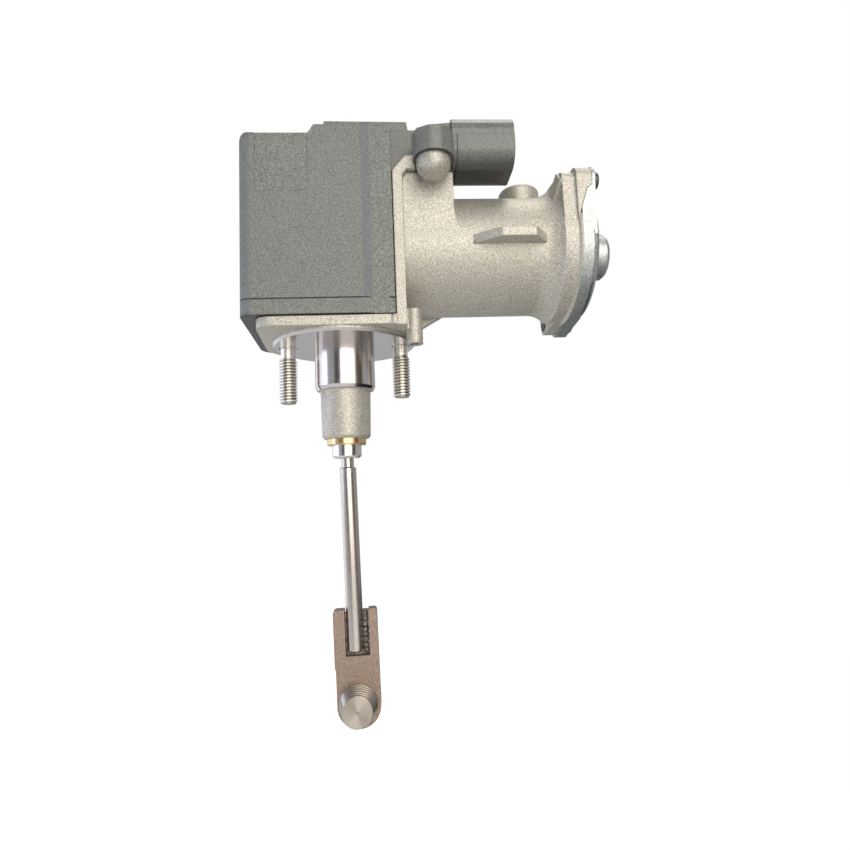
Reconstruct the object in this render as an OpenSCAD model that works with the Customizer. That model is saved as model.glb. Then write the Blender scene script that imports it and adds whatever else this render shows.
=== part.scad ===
// Electronic wastegate actuator.
// A small motor in the cast tube turns two gear stages. The last gear moves a
// rack shaft, and the shaft pulls the rod with its end plate.
// Millimetres. The shaft axis is Z, the pad face is Z = 0, the motor points to +X.

/* [Mounting pad and studs] */
// radius of the machined pad
pad_r = 23.7; // [22.5:0.1:24]
// distance between the two studs
stud_spacing = 37.6; // [34:0.2:39]
// outer radius of the stud thread
stud_r = 3; // [2:0.1:3.5]
// how far the left stud stands out of the pad
stud_out = 18.7; // [10:0.1:26]
// full length of one stud
stud_len = 27.2; // [20:0.1:34]

/* [Neck] */
// radius of the turned part of the neck
neck_r = 9.9; // [9:0.1:11]
// length of the turned part of the neck
neck_len = 14.9; // [8:0.1:18]
// distance from the pad to the lower end of the cast neck
cast_neck_end = 31; // [24:0.1:31.5]

/* [Gearbox cover] */
// front face of the cover, measured from the shaft axis
cover_front = 23; // [22.5:0.1:25]
// top of the left part of the cover
cover_top = 61.7; // [60:0.1:63]
// height of the step to the right part of the roof
roof_step = 2.6; // [1:0.1:4]
// wall of the cover
cover_wall = 2.4; // [1.8:0.1:2.4]

/* [Connector] */
// end of the connector shroud
shroud_end = 56; // [52:0.5:62]
// width of the shroud
shroud_w = 18; // [17:0.5:19]
// height of the shroud
shroud_h = 16; // [14:0.5:17]
// number of terminals
terminals = 5; // [3:1:5]

/* [Motor tube] */
// outer radius of the motor tube
tube_r = 19.6; // [18.5:0.1:21]
// height of the motor axis over the pad
motor_z = 30; // [29.8:0.1:30.2]
// distance of the upper ear screw from the motor axis
ear_pcr = 25.8; // [25.5:0.1:27]
// radius of the pressed motor cover
cap_r = 22.4; // [21.5:0.1:22.5]

/* [Shaft and rod] */
// radius of the rack shaft
shaft_r = 4.8; // [4.6:0.05:4.9]
// radius of the rod
rod_r = 2.7; // [2:0.1:3]
// lower end of the rod
rod_end = 98.8; // [90:0.2:110]
// sideways lean of the rod at rest, in degrees
rod_lean = 1.15; // [0:0.05:2]
// distance from the pad to the drive pin
pin_z = 114.3; // [105:0.5:130]

/* [Gears] */
// module of the first stage
mod_1 = 0.6; // [0.5:0.1:0.6]
// module of the second stage
mod_2 = 0.8; // [0.7:0.1:0.8]
// teeth of the motor pinion
teeth_motor = 12; // [12:1:14]
// teeth of the intermediate wheel
teeth_wheel = 35; // [30:1:36]
// teeth of the second pinion
teeth_second = 12; // [12:1:13]
// teeth of the output wheel
teeth_output = 34; // [30:1:34]
// teeth of the rack pinion
teeth_rack = 10; // [10:1:11]

/* [Hidden] */
$fn = 72;
base_top = 4.4;
seal_t = 0.4;
cover_z = base_top + seal_t;
wall_x = 17.65;
rim_x = 17.3;
block_y = 19.5;
block_top = 50.6;
block_x = 36.7;
bridge_top = cover_top + roof_step;
ball_z = -33.5;
spread = 0.0789;
mesh_gap = 0.1;
press = 20;
centre_1 = mod_1 * (teeth_motor + teeth_wheel) / 2 + mesh_gap;
centre_2 = mod_2 * (teeth_second + teeth_output) / 2 + mesh_gap;
mid_y = -9;
mid_z = motor_z + sqrt(centre_1 * centre_1 - mid_y * mid_y);
out_y = 7.5;
out_z = mid_z - sqrt(centre_2 * centre_2 - pow(out_y - mid_y, 2));
rack_y = out_y - teeth_rack / 2 - mesh_gap;
ang_1 = atan2(mid_z - motor_z, mid_y);
ang_2 = atan2(out_z - mid_z, out_y - mid_y);
left_x = -29;
ear_turn = 137.5;
low_pcr = 24.7;
low_turn = -54;
shroud_y = -15;
shroud_z = 59.8;
pin_x = 0.28;
pad_y = 1.5;

// Prisms along the three axes. The flat shape is drawn in (Y, Z), (X, Z) or (X, Y).
module slab_x(x0, x1) {
    translate([x0, 0, 0])
        rotate([90, 0, 90])
            linear_extrude(x1 - x0)
                children();
}

module slab_y(y0, y1) {
    translate([0, y1, 0])
        rotate([90, 0, 0])
            linear_extrude(y1 - y0)
                children();
}

module slab_z(z0, z1) {
    translate([0, 0, z0])
        linear_extrude(z1 - z0)
            children();
}

// Round bar along X about the point (y, z).
module bar_x(x0, x1, r, y = 0, z = motor_z) {
    translate([x0, y, z])
        rotate([0, 90, 0])
            cylinder(h = x1 - x0, r = r);
}

module bar_z(z0, z1, r, x = 0, y = 0) {
    translate([x, y, z0])
        cylinder(h = z1 - z0, r = r);
}

// Turned shape about the motor axis. The profile is drawn as (radius, X).
module turned_x() {
    translate([0, 0, motor_z])
        rotate([0, 90, 0])
            rotate_extrude()
                children();
}

// Rectangle with round corners, from (x0, y0) to (x1, y1).
module round_rect(x0, y0, x1, y1, r) {
    translate([x0 + r, y0])
        square([x1 - x0 - 2 * r, y1 - y0]);
    translate([x0, y0 + r])
        square([x1 - x0, y1 - y0 - 2 * r]);
    for (x = [x0 + r, x1 - r])
        for (y = [y0 + r, y1 - r])
            translate([x, y])
                circle(r = r);
}

// What a rounded outer corner takes away. The corner is at the origin, one side runs
// along +X and the other leans from +Y towards -X.
module corner_cut(r, lean = 0) {
    t = r / tan(45 + lean / 2);
    difference() {
        polygon([
            [-3, -2],
            [t, -2],
            [t, r],
            [-t * sin(lean), t * cos(lean)],
            [-t * sin(lean) - 3 * cos(lean), t * cos(lean) - 3 * sin(lean)]
        ]);
        translate([t, r])
            circle(r = r);
    }
}

// Involute tooth outline points.
function involute(a) = tan(a) * 180 / PI - a;
function tooth_half(z, m, r) = let (rb = z * m / 2 * cos(press))
    90 / z * 0.9 - (involute(acos(min(1, rb / max(r, rb)))) - involute(press));
function tooth_radii(z, m) = let (
    root = z * m / 2 - 1.15 * m,
    tip = z * m / 2 + 0.85 * m,
    start = max(z * m / 2 * cos(press), root + 0.01)
) [root, start, start + (tip - start) / 3, start + (tip - start) * 2 / 3, tip];
function polar(r, a) = [r * cos(a), r * sin(a)];
function gear_outline(z, m) = let (rs = tooth_radii(z, m)) [
    for (k = [0 : z - 1])
        for (i = [0 : 9])
            let (r = i < 5 ? rs[i] : rs[9 - i], h = tooth_half(z, m, r))
                polar(r, 360 * k / z + (i < 5 ? -h : h))
];

module gear_x(x0, x1, z, m, turn, y, w) {
    translate([x0, y, w])
        rotate([90, 0, 90])
            rotate([0, 0, turn])
                linear_extrude(x1 - x0)
                    polygon(gear_outline(z, m));
}

// Outline of the base plate: straight front, round back, slanted left side.
module base_plan() {
    difference() {
        intersection() {
            union() {
                translate([-1, 1])
                    circle(r = 27.6);
                translate([-27, -22.4])
                    square([27 + wall_x, 23]);
            }
            polygon([
                [-24.5, -22.4],
                [wall_x, -22.4],
                [wall_x, 40],
                [-24.5 - 0.0987 * 62.4, 40]
            ]);
        }
        translate([-24.5, -22.4])
            rotate([0, 0, 0.6])
                corner_cut(4.5, 4.6);
    }
}

// Opening of the gearbox floor, inside the seal.
module floor_opening() {
    intersection() {
        translate([-1, 1])
            circle(r = 24.3);
        translate([-22, -18.6])
            square([22 + rim_x + 1, 60]);
    }
    translate([10, -18.6])
        square([rim_x + 1 - 10, 37.2]);
    translate([-stud_spacing / 2, 0])
        circle(r = 5.3);
}

// Side outline of the wall that closes the gearbox towards the motor.
module wall_side() {
    polygon([
        [wall_x, 1.5],
        [wall_x, 50.2],
        [21.8, 55.1],
        [24.9, 55.1],
        [24.9, 50.9],
        [22.4, 50.9],
        [20.7, 49.2],
        [20.7, 1.5]
    ]);
}

// Boss with a round lower end under an ear of the cover, held by a web.
module ear_boss() {
    translate([30.2, -25, 46.3])
        rotate_extrude() {
            square([2.2, 5]);
            translate([0, 3])
                square([5.2, 2]);
            intersection() {
                translate([2.2, 3])
                    circle(r = 3);
                square([5.2, 5]);
            }
        }
    slab_z(47.5, 51.3)
        translate([27.2, -24])
            square([6, 9]);
}

// Screw places of the motor cover, an upper one in front and a lower one behind.
module flange_holes(x0, x1, r) {
    for (p = [[ear_pcr, ear_turn], [low_pcr, low_turn]])
        bar_x(x0, x1, r, p[0] * cos(p[1]), motor_z + p[0] * sin(p[1]));
}

// Web from a disc about the motor axis to a round ear, along their common tangents.
module ear_link(disc, ear, reach, turn) {
    c = (disc - ear) / reach;
    d = sqrt(1 - c * c);
    translate([0, motor_z])
        rotate([0, 0, turn]) {
            polygon([
                [0, 0],
                [0.995 * disc * c, 0.995 * disc * d],
                [reach + 0.97 * ear * c, 0.97 * ear * d],
                [reach + 0.97 * ear * c, -0.97 * ear * d],
                [0.995 * disc * c, -0.995 * disc * d]
            ]);
            translate([reach, 0])
                circle(r = ear);
        }
}

// Body under the upper ear of the motor cover, narrower towards its screw face.
module ear_wedge(gap) {
    translate([0, 0, motor_z])
        rotate([ear_turn - 180, 0, 0])
            slab_y(-40, -8)
                polygon([
                    [73, -16 - gap],
                    [74.9, -13 - gap],
                    [76.3, -10 - gap],
                    [78.3, -5.6 - gap],
                    [80, -4.6 - gap],
                    [80, 4.6 + gap],
                    [78.3, 5.6 + gap],
                    [76.3, 10 + gap],
                    [74.9, 13 + gap],
                    [73, 16 + gap]
                ]);
}

module housing_solid() {
    // base plate and pad
    slab_z(1.5, base_top)
        base_plan();
    translate([0, pad_y, 0])
        cylinder(h = 0.7, r1 = pad_r - 0.7, r2 = pad_r);
    bar_z(0.7, 1.6, pad_r, 0, pad_y);
    // neck
    rotate_extrude()
        polygon([
            [0, 1],
            [neck_r, 1],
            [neck_r, 1 - neck_len],
            [neck_r - 0.6, -neck_len],
            [8.25, -neck_len - 0.3],
            [7.95, -cast_neck_end + 0.8],
            [7.2, -cast_neck_end],
            [0, -cast_neck_end]
        ]);
    // stud bosses inside the gearbox
    bar_z(base_top - 0.4, 11, 5, -stud_spacing / 2);
    bar_z(base_top - 0.4, 11, 5, stud_spacing / 2);
    // wall with its raised front rim
    slab_y(-21.5, 24.5)
        wall_side();
    // block between wall and motor tube
    slab_x(wall_x, block_x)
        translate([-block_y, motor_z])
            square([2 * block_y, block_top - motor_z]);
    slab_x(wall_x, 25)
        translate([-4, 8])
            square([4 + block_y, motor_z - 6.5]);
    // hollow curve from the block into the tube
    slab_y(-block_y, block_y)
        difference() {
            translate([block_x - 1, motor_z])
                square([4.3, 10]);
            translate([block_x + 18, motor_z + 10])
                circle(r = 18);
        }
    // screw boss under the wall, and a gusset under the tube
    bar_z(-3, 8, 2.6, 23.1, -14);
    slab_z(1.5, 8)
        translate([19, -16])
            square([4.1, 4]);
    slab_y(5, 8)
        polygon([
            [20, 3.75],
            [20, 18],
            [38, 18],
            [38, 14.06]
        ]);
    // bosses for the ears of the cover
    ear_boss();
    mirror([0, 1, 0])
        ear_boss();
    // motor tube, widened in a curve towards its flange
    bar_x(wall_x, 71, tube_r);
    turned_x()
        difference() {
            translate([0, 64])
                square([cap_r, 11]);
            translate([tube_r + 9.99, 63.9])
                circle(r = 10);
        }
    turned_x()
        polygon([
            [0, 73.5],
            [cap_r, 73.5],
            [cap_r, 75],
            [cap_r + 0.8, 75.6],
            [cap_r + 0.8, 76.2],
            [0, 76.2]
        ]);
    // ears of the flange
    slab_x(70.8, 75.2)
        ear_link(cap_r, 2.7, ear_pcr, ear_turn);
    slab_x(72.7, 76.6)
        ear_link(cap_r, 3.5, low_pcr, low_turn);
    slab_x(74, 80)
        translate([0, motor_z])
            rotate([0, 0, low_turn])
                translate([low_pcr, 0])
                    circle(r = 3.1);
    // thick part of the upper ear and the rib behind it
    intersection() {
        slab_x(75, 81)
            ear_link(cap_r + 0.8, 4.1, ear_pcr, ear_turn);
        ear_wedge(0);
    }
    translate([0, 0, motor_z])
        rotate([ear_turn - 180, 0, 0])
            slab_z(-2.6, 2.6)
                polygon([
                    [68, -18],
                    [68.6, -20],
                    [69.4, -24],
                    [70, -27.5],
                    [71, -27.5],
                    [71, -18]
                ]);
    // lug on the front of the tube
    slab_z(27.25, 30.1)
        polygon([
            [41.7, -16],
            [41.7, -19.2],
            [50.5, -25.1],
            [60.9, -25.1],
            [65.5, -19.9],
            [65.5, -16]
        ]);
    // round boss on top of the tube
    translate([62.3, 0.5, motor_z + 12])
        rotate_extrude() {
            square([7, 11]);
            square([5.5, 12.5]);
            translate([5.5, 11])
                circle(r = 1.5);
        }
}

module housing() {
    color("#a9a49a")
        difference() {
            housing_solid();
            // shaft passage, bush seat and seal seat
            bar_z(-40, 12, shaft_r + 0.5);
            bar_z(-40, -15.2, 6.17);
            bar_z(-6, 12, 7.6);
            // blind holes for the studs, each with a wider mouth
            for (s = [-1, 1]) {
                bar_z(-1, 9.7, stud_r - 0.03, s * stud_spacing / 2);
                bar_z(-1, 0.8, stud_r + 0.05, s * stud_spacing / 2);
            }
            // gear axles
            bar_x(10, 24, 1.51, mid_y, mid_z);
            bar_x(10, 24, 2.01, out_y, out_z);
            // motor bore with its nose pocket and the shaft hole
            bar_x(31, 90, 17);
            bar_x(25, 32, 12);
            bar_x(10, 26, 2.2);
            // room for the skirt of the motor cover
            bar_x(75.6, 90, cap_r + 0.3);
            // room for the rear ear of the cover, and its screws
            bar_z(51.25, 60, 6.6, 30.3, 25);
            for (s = [-1, 1])
                bar_z(48, 60, 1.76, 30.3, s * 25);
            bar_x(10, 30, 1.7, 22.1, 12);
            bar_z(-4, 2, 1.6, 23.1, -14);
            // screws of the motor cover
            flange_holes(72, 90, 2.01);
            // line between base plate and wall
            translate([16, -24, 1.2])
                cube([0.5, 2.2, base_top]);
        }
}

// Plan of the cover box. The left side spreads towards the back.
module cover_plan() {
    difference() {
        polygon([
            [left_x, -cover_front],
            [rim_x, -cover_front],
            [rim_x, 26],
            [left_x - spread * 49, 26]
        ]);
        translate([left_x, -cover_front])
            corner_cut(3.6, 4);
        translate([left_x - spread * 49, 26])
            rotate([0, 0, atan(spread) - 90])
                corner_cut(6, -4);
        translate([rim_x, 26])
            rotate([0, 0, 180])
                corner_cut(2);
        translate([rim_x, -cover_front])
            rotate([0, 0, 90])
                corner_cut(0.8);
        // the right column of the front stands back a little
        polygon([
            [8.5, -cover_front - 0.01],
            [11.3, -cover_front + 0.8],
            [rim_x + 1, -cover_front + 0.8],
            [rim_x + 1, -cover_front - 1]
        ]);
    }
}

module cover_side() {
    difference() {
        polygon([
            [-36, cover_z],
            [-36, cover_top],
            [-7.7, cover_top],
            [-6.1, bridge_top],
            [rim_x, bridge_top],
            [rim_x, cover_z]
        ]);
        translate([rim_x, bridge_top])
            rotate([0, 0, 180])
                corner_cut(1);
    }
}

module shroud_section(grow) {
    round_rect(
        shroud_y - shroud_w / 2 - grow,
        shroud_z - shroud_h / 2 - grow,
        shroud_y + shroud_w / 2 + grow,
        shroud_z + shroud_h / 2 + grow,
        5.5 + grow
    );
}

module cover_solid() {
    difference() {
        intersection() {
            slab_z(cover_z, bridge_top)
                cover_plan();
            slab_y(-cover_front - 2, 28)
                cover_side();
        }
        // round upper left edge
        translate([left_x, -cover_front, cover_top])
            rotate([0, 0, atan(spread)])
                slab_y(-4, 56)
                    mirror([0, 1])
                        corner_cut(2.4);
    }
    // raised field on the roof
    slab_y(-19.5, 16)
        polygon([
            [-4.4, bridge_top - 1],
            [-3.2, 67.7],
            [22.6, 67.4],
            [23.2, bridge_top - 1]
        ]);
    // bridge over the top of the wall
    slab_y(-20, 20)
        polygon([
            [rim_x - 1, 50.7],
            [rim_x, 50.7],
            [21.7, 55.5],
            [25.3, 55.5],
            [25.3, bridge_top],
            [rim_x - 1, bridge_top]
        ]);
    // arm to the connector and the two ears
    slab_y(-19, 21)
        polygon([
            [25.2, 50.8],
            [26.8, 50.8],
            [26.8, 51.3],
            [36.6, 51.3],
            [36.6, 58.7],
            [28.4, 58.7],
            [28, 57.8],
            [25.2, 57.8]
        ]);
    slab_y(-21, -8)
        polygon([
            [24.4, 55.5],
            [24.4, 63],
            [26, 64.6],
            [30, 65.6],
            [34, 66],
            [37.5, 66.3],
            [37.5, 55.5]
        ]);
    bar_z(51.3, 58.7, 6.3, 30.3, -25);
    bar_z(51.3, 58.7, 6.3, 30.3, 25);
    // connector shroud, a little wider in its lower part
    slab_x(block_x - 0.2, shroud_end)
        shroud_section(0);
    slab_x(38, shroud_end)
        intersection() {
            shroud_section(0.4);
            translate([shroud_y - 15, shroud_z - 15])
                square([30, 15.5]);
        }
}

module gearbox_cover() {
    color("#6d7070")
        difference() {
            union() {
                difference() {
                    cover_solid();
                    // gearbox hollow above the floor flange
                    slab_z(cover_z + 2.5, cover_top - 2.8)
                        round_rect(left_x + cover_wall, cover_wall - cover_front, 14.6, 26 - cover_wall, 2);
                    slab_z(40, bridge_top - 2.8)
                        round_rect(-4, cover_wall - cover_front, 14.6, 26 - cover_wall, 2);
                    slab_z(cover_z - 1, cover_z + 3)
                        floor_opening();
                    // window to the wall
                    slab_x(14, rim_x + 1)
                        translate([-18.6, cover_z - 1])
                            square([40.1, 43.5]);
                    // dark line above the lower band
                    difference() {
                        slab_z(9.4, 9.75)
                            translate([-40, -30])
                                square([rim_x + 41, 60]);
                        slab_z(9, 10)
                            round_rect(-28.3, -22.5, 17, 25.5, 3);
                    }
                }
                // bosses for the axles, pegs for the board, boss for the lower screw
                bar_x(-28, -14.9, 3.5, mid_y, mid_z);
                bar_x(-28, -19, 4, out_y, out_z);
                bar_x(-28, -21, 1.2, -10, 18);
                bar_x(-28, -21, 1.2, 18, 18);
                bar_x(8, rim_x, 3.4, 22.1, 12);
            }
            bar_x(-21, -14, 1.51, mid_y, mid_z);
            bar_x(-24, -18, 2.01, out_y, out_z);
            bar_x(9, 18, 1.51, 22.1, 12);
            // shallow field on the upper left of the front
            translate([-24, -cover_front - 1, 43])
                cube([16, 1.2, 30]);
            // connector hollow and terminal holes
            slab_x(42, shroud_end + 1)
                shroud_section(-1.9);
            for (i = [0 : terminals - 1])
                translate([37, terminal_y(i) - 0.42, shroud_z - 0.82])
                    cube([6, 0.84, 1.64]);
            // screw holes in the ears
            for (s = [-1, 1])
                bar_z(50, 70, 2, 30.3, s * 25);
        }
}

function terminal_y(i) = shroud_y + (i - (terminals - 1) / 2) * 2.7;

module cover_seal() {
    color("#1b1c1e") {
        slab_z(base_top, cover_z)
            difference() {
                intersection() {
                    base_plan();
                    translate([-40, -21.9])
                        square([40 + rim_x, 70]);
                }
                floor_opening();
            }
        slab_x(rim_x, wall_x)
            difference() {
                translate([-21.2, base_top])
                    square([45.4, 45.6]);
                translate([-18.6, base_top - 1])
                    square([40.1, 43.8]);
                translate([22.1, 12])
                    circle(r = 1.8);
            }
    }
}

module cap_screw(r, head_r, head_h, len) {
    bar_z(-len, 0, r);
    difference() {
        union() {
            bar_z(0, head_h - 0.4, head_r);
            translate([0, 0, head_h - 0.4])
                cylinder(h = 0.4, r1 = head_r, r2 = head_r - 0.4);
        }
        translate([0, 0, head_h - 1.2])
            cylinder(h = 2, r = head_r * 0.5, $fn = 6);
    }
}

module cover_screws() {
    color("#b9b9b4") {
        for (s = [-1, 1])
            translate([30.3, s * 25, 58.7])
                cap_screw(1.74, 3.2, 1.9, 10.4);
        translate([20.7, 22.1, 12])
            rotate([0, 90, 0])
                cap_screw(1.49, 2.3, 2.4, 11);
    }
}

module terminal_pins() {
    color("#c8b27a")
        for (i = [0 : terminals - 1])
            translate([37.4, terminal_y(i) - 0.4, shroud_z - 0.8])
                difference() {
                    cube([12.6, 0.8, 1.6]);
                    translate([12, -1, 1.3])
                        cube([2, 3, 1]);
                    translate([12, -1, -0.7])
                        cube([2, 3, 1]);
                }
}

module sensor_board() {
    color("#2f5a3c")
        difference() {
            union() {
                slab_x(-23.6, -22)
                    round_rect(-14, 14, 22, 49, 1.5);
                // sensor chip and two passives facing the magnets
                translate([-22.1, out_y - 8, out_z - 2])
                    cube([1.6, 3, 4]);
                translate([-22.1, 8, 18])
                    cube([1, 4, 2]);
                translate([-22.1, -6, 24])
                    cube([1, 2, 4]);
            }
            bar_x(-25, -20, 3.8, mid_y, mid_z);
            bar_x(-25, -20, 4.3, out_y, out_z);
            bar_x(-25, -20, 1.25, -10, 18);
            bar_x(-25, -20, 1.25, 18, 18);
        }
}

module guide_bush() {
    color("#c9a860")
        rotate_extrude()
            polygon([
                [shaft_r + 0.05, -15.3],
                [6.15, -15.3],
                [6.15, -31.02],
                [6.4, -31.02],
                [6.4, -32.8],
                [6.1, -33.1],
                [shaft_r + 0.35, -33.1],
                [shaft_r + 0.05, -32.8]
            ]);
}

module shaft_seal() {
    color("#1d1e20")
        rotate_extrude()
            polygon([
                [shaft_r + 0.06, -5.2],
                [shaft_r + 1.2, -6],
                [7.57, -6],
                [7.57, -1.2],
                [6.4, -1.2],
                [6.1, -4],
                [shaft_r + 0.06, -4.6]
            ]);
}

module studs() {
    color("#c9c4b6")
        for (s = [-1, 1])
            translate([s * stud_spacing / 2, 0, 0]) {
                low = s < 0 ? -stud_out : 1.1 - stud_out;
                translate([0, 0, low])
                    cylinder(h = 0.6, r1 = stud_r - 0.6, r2 = stud_r);
                bar_z(low + 0.6, 0, stud_r);
                bar_z(-1, low + stud_len - 0.6, stud_r - 0.05);
                translate([0, 0, low + stud_len - 0.6])
                    cylinder(h = 0.6, r1 = stud_r - 0.05, r2 = stud_r - 0.6);
            }
}

module motor_can() {
    color("#8f9296")
        turned_x()
            polygon([
                [2, 28],
                [5.5, 28],
                [5.5, 31.2],
                [15.9, 31.2],
                [16.9, 32.2],
                [16.9, 77],
                [15.9, 77],
                [15.9, 32.2],
                [4.5, 32.2],
                [4.5, 28.8],
                [2, 28.8]
            ]);
}

module motor_magnets() {
    color("#3a3a3d")
        difference() {
            bar_x(38, 64, 15.85);
            bar_x(37, 65, 12.2);
            translate([37, -20, motor_z - 6])
                cube([28, 40, 12]);
        }
}

module motor_end_plate() {
    color("#9a9da0")
        turned_x()
            polygon([
                [4.5, 74.4],
                [5.8, 74.4],
                [5.8, 77],
                [16.9, 77],
                [16.9, 78.2],
                [3, 78.2],
                [3, 77.4],
                [4.5, 77.4]
            ]);
}

module motor_bearings() {
    color("#b08d57")
        for (x = [29, 74.4])
            difference() {
                bar_x(x, x + 2.9, 4.48);
                bar_x(x - 1, x + 4, 1.62);
            }
}

module brush_holder() {
    color("#26282b")
        difference() {
            union() {
                bar_x(68, 71, 15.85);
                translate([66.4, -12, motor_z - 3])
                    cube([6.6, 24, 6]);
            }
            bar_x(60, 80, 8.4);
            translate([67, -14, motor_z - 1.6])
                cube([5.2, 28, 3.2]);
        }
}

module brushes() {
    color("#2b2b2b")
        difference() {
            translate([67.1, -12, motor_z - 1.5])
                cube([5, 24, 3]);
            bar_x(60, 80, 4.75);
        }
}

module motor_shaft() {
    color("#c3c5c7") {
        bar_x(7.9, 76.9, 1.585);
        translate([7.6, 0, motor_z])
            rotate([0, 90, 0])
                cylinder(h = 0.3, r1 = 1.3, r2 = 1.585);
        translate([76.9, 0, motor_z])
            rotate([0, 90, 0])
                cylinder(h = 0.3, r1 = 1.585, r2 = 1.3);
    }
}

module armature() {
    color("#9b5f36")
        difference() {
            union() {
                bar_x(40, 62, 11.4);
                bar_x(35.5, 65, 9.2);
            }
            for (k = [0 : 4])
                translate([0, 0, motor_z])
                    rotate([72 * k, 0, 0])
                        translate([39, -0.9, 9.4])
                            cube([24, 1.8, 4]);
            bar_x(30, 70, 1.6);
        }
}

module commutator() {
    color("#b87f45")
        difference() {
            union() {
                bar_x(66.4, 73.4, 4.6);
                bar_x(65.3, 66.5, 5.6);
            }
            for (k = [0 : 4])
                translate([0, 0, motor_z])
                    rotate([72 * k + 36, 0, 0])
                        translate([65, -0.25, 3.9])
                            cube([9, 0.5, 2]);
            bar_x(60, 80, 1.6);
        }
}

module motor_pinion() {
    color("#c9a45c")
        difference() {
            gear_x(7.9, 13, teeth_motor, mod_1, ang_1, 0, motor_z);
            bar_x(7, 14, 1.6);
        }
}

module intermediate_gear() {
    color("#d8d2c0")
        difference() {
            union() {
                gear_x(8, 12.5, teeth_wheel, mod_1, ang_1 + 180 + 180 / teeth_wheel, mid_y, mid_z);
                gear_x(-14, -8, teeth_second, mod_2, ang_2, mid_y, mid_z);
                bar_x(-14.6, 17.35, 3, mid_y, mid_z);
            }
            bar_x(-20, 20, 1.55, mid_y, mid_z);
            // light pockets in the web of the wheel
            for (k = [0 : 5])
                bar_x(11, 13, 1.9, mid_y + 6.2 * cos(60 * k), mid_z + 6.2 * sin(60 * k));
        }
}

module intermediate_axle() {
    color("#c3c5c7")
        bar_x(-20.5, 23.5, 1.5, mid_y, mid_z);
}

module output_gear() {
    color("#d8d2c0")
        difference() {
            union() {
                gear_x(-14, -8, teeth_output, mod_2, ang_2 + 180 + 180 / teeth_output, out_y, out_z);
                gear_x(-8.1, 4.5, teeth_rack, 1, 180, out_y, out_z);
                bar_x(-14, 17.35, 3, out_y, out_z);
            }
            bar_x(-20, 20, 2.05, out_y, out_z);
            for (k = [0 : 5])
                bar_x(-15, -12, 2.4, out_y + 8.6 * cos(60 * k + 30), out_z + 8.6 * sin(60 * k + 30));
        }
}

module output_axle() {
    color("#c3c5c7")
        bar_x(-23.5, 23.5, 2, out_y, out_z);
}

module magnet_holder() {
    color("#2a2d30")
        difference() {
            bar_x(-18.6, -14, 7, out_y, out_z);
            bar_x(-20, -10, 2.05, out_y, out_z);
            for (s = [-1, 1])
                bar_x(-20, -15.5, 1.76, out_y + s * 4.6, out_z);
        }
}

module sensor_magnets() {
    color("#77797c")
        for (s = [-1, 1])
            bar_x(-18.4, -15.5, 1.75, out_y + s * 4.6, out_z);
}

// Teeth cut along the side of the shaft, drawn as (Y, Z). One gap faces the pinion.
module rack_side() {
    pitch = PI;
    polygon([
        for (k = [-2 : 5])
            for (i = [0 : 3])
                let (
                    d = i == 0 || i == 3 ? -1.15 : 0.85,
                    h = pitch * 0.225 - d * tan(press)
                )
                    [rack_y + d, out_z + (k + 0.5) * pitch + (i < 2 ? -h : h)],
        [rack_y - 1.15, out_z + 18.1],
        [-8, out_z + 18.1],
        [-8, out_z - 6],
        [rack_y - 1.15, out_z - 6]
    ]);
}

module output_shaft() {
    color("#cfd0d0")
        difference() {
            rotate_extrude()
                polygon([
                    [0, 51.5],
                    [shaft_r - 0.6, 51.5],
                    [shaft_r, 50.9],
                    [shaft_r, -36.6],
                    [shaft_r - 0.7, -37.3],
                    [0, -37.3]
                ]);
            // rack
            difference() {
                translate([-6, rack_y - 1.15, out_z - 6])
                    cube([12, 10, 24.1]);
                slab_x(-7, 7)
                    rack_side();
            }
            // socket for the ball of the rod
            translate([0, 0, ball_z])
                sphere(r = 3.25);
            translate([0, 0, -37.31])
                cylinder(h = 1.95, r1 = 2.95, r2 = 2.5);
        }
}

// Everything on the rod turns about the ball centre by the rest lean.
module leaned() {
    translate([0, 0, ball_z])
        rotate([0, -rod_lean, 0])
            translate([0, 0, -ball_z])
                children();
}

module actuating_rod() {
    color("#c2beb4")
        leaned() {
            translate([0, 0, ball_z])
                sphere(r = 3.2);
            bar_z(-41, ball_z, 2.05);
            translate([0, 0, -40.7])
                cylinder(h = 0.4, r1 = rod_r, r2 = rod_r - 0.4);
            bar_z(-rod_end + 0.5, -40.7, rod_r);
            translate([0, 0, -rod_end])
                cylinder(h = 0.5, r1 = rod_r - 0.5, r2 = rod_r);
        }
}

module end_plate() {
    color("#9a8c85")
        leaned()
            slab_y(-2, 2)
                difference() {
                    union() {
                        round_rect(pin_x - 7, -104.2, pin_x + 7, -85.6, 1);
                        translate([pin_x - 6.7, -pin_z - 0.8])
                            square([13.7, pin_z - 90]);
                        translate([pin_x + 0.15, -pin_z - 0.8])
                            circle(r = 6.85);
                    }
                    translate([-3.1, -rod_end - 1.1])
                        square([7.7, 20]);
                    translate([pin_x, -pin_z])
                        circle(r = 3.51);
                }
}

module weld_bead() {
    color("#7d7873")
        leaned()
            difference() {
                union() {
                    slab_y(-0.7, 2)
                        translate([0, -rod_end - 1])
                            square([4.5, 13.6]);
                    slab_y(-0.3, 1.4)
                        translate([-3, -rod_end - 1])
                            square([3.2, 13]);
                    for (k = [0 : 7])
                        translate([3.4, -0.9, -rod_end + 0.4 + 1.6 * k])
                            sphere(r = 0.95, $fn = 24);
                }
                bar_z(-rod_end, -80, rod_r);
            }
}

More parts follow.
